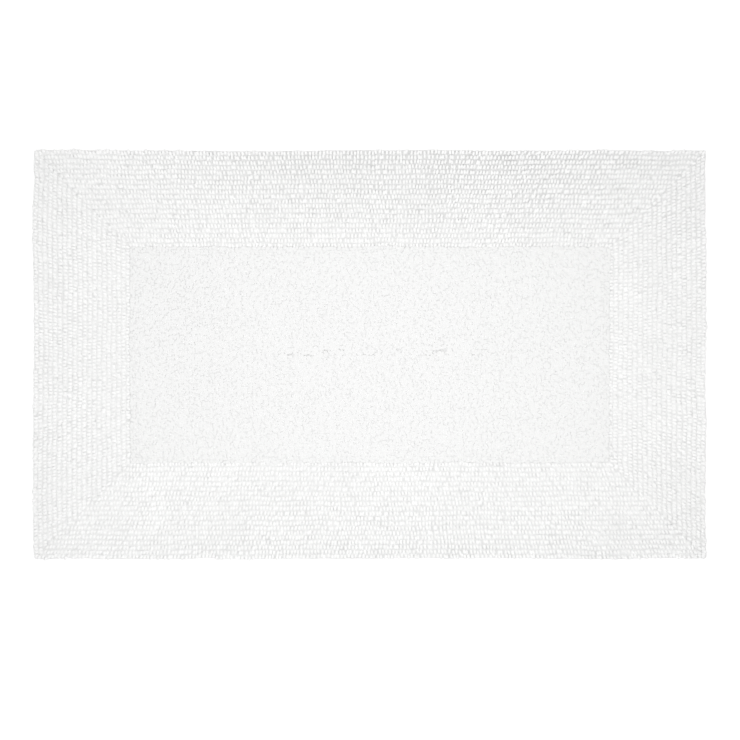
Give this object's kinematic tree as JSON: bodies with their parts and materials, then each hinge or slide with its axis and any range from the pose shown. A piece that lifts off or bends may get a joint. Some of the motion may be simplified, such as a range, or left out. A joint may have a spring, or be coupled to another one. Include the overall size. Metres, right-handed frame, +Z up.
{
  "type": "bath mat",
  "caption": "Rectangular tufted cotton bath mat with a wide loop-pile border in concentric mitred rows and a sheared cut-pile centre.",
  "frame": {"origin": "centre of the mat's footprint at floor level, which is the underside of the non-slip coat", "axes": "+X along the long side, +Y along the short side, +Z up through the pile"},
  "size_m": [0.864, 0.5258, 0.0143],
  "materials": {
    "latex": "matte",
    "canvas": "matte",
    "thread": "matte",
    "loop_yarn": "matte",
    "cut_yarn": "matte"
  },
  "bodies": {
    "root": {"latex_backing": "latex", "ground_cloth": "canvas", "hem_stitching": "thread", "loop_row_01": "loop_yarn", "loop_row_02": "loop_yarn", "loop_row_03": "loop_yarn", "loop_row_04": "loop_yarn", "loop_row_05": "loop_yarn", "loop_row_06": "loop_yarn", "loop_row_07": "loop_yarn", "loop_row_08": "loop_yarn", "loop_row_09": "loop_yarn", "loop_row_10": "loop_yarn", "loop_row_11": "loop_yarn", "loop_row_12": "loop_yarn", "loop_row_13": "loop_yarn", "loop_row_14": "loop_yarn", "loop_row_15": "loop_yarn", "loop_row_16": "loop_yarn", "loop_row_17": "loop_yarn", "loop_row_18": "loop_yarn", "loop_row_19": "loop_yarn", "loop_row_20": "loop_yarn", "cut_pile": "cut_yarn"}
  },
  "joints": []
}
